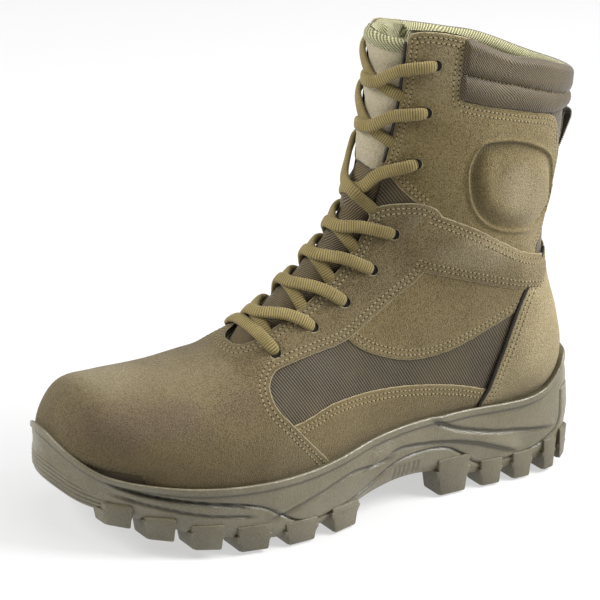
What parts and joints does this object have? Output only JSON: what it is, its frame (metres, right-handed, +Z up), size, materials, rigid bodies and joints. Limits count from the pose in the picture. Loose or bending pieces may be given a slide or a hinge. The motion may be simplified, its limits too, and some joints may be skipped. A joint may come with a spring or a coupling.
{
  "type": "combat_boot",
  "caption": "Left combat boot, eight inches tall: olive-tan suede and nylon upper, padded tongue and collar, ribbed cord laces through plain eyelets, and a grey lugged two-part sole.",
  "frame": {"origin": "Middle of the plan, on the floor that the lugs stand on", "axes": "+Y heel, -Y toe, +X outer side of the foot, +Z up"},
  "size_m": [0.1084, 0.3052, 0.2535],
  "materials": {
    "rubber_outsole": "matte, fine grain",
    "rubber_midsole": "satin",
    "suede": "rough-out suede",
    "nylon": "woven ballistic nylon",
    "lining_mesh": "spacer mesh",
    "lace_cord": "braided cord",
    "webbing": "woven webbing"
  },
  "bodies": {
    "root": {"collar_pad": "nylon", "heel_counter": "suede", "insole": "lining_mesh", "lace_bar": "lace_cord", "lace_cross_1": "lace_cord", "lace_cross_2": "lace_cord", "lace_cross_3": "lace_cord", "lace_cross_4": "lace_cord", "lace_cross_5": "lace_cord", "lace_cross_6": "lace_cord", "lace_cross_7": "lace_cord", "midsole": "rubber_midsole", "outsole": "rubber_outsole", "pull_loop": "webbing", "tongue": "nylon", "upper": "suede"}
  },
  "joints": []
}
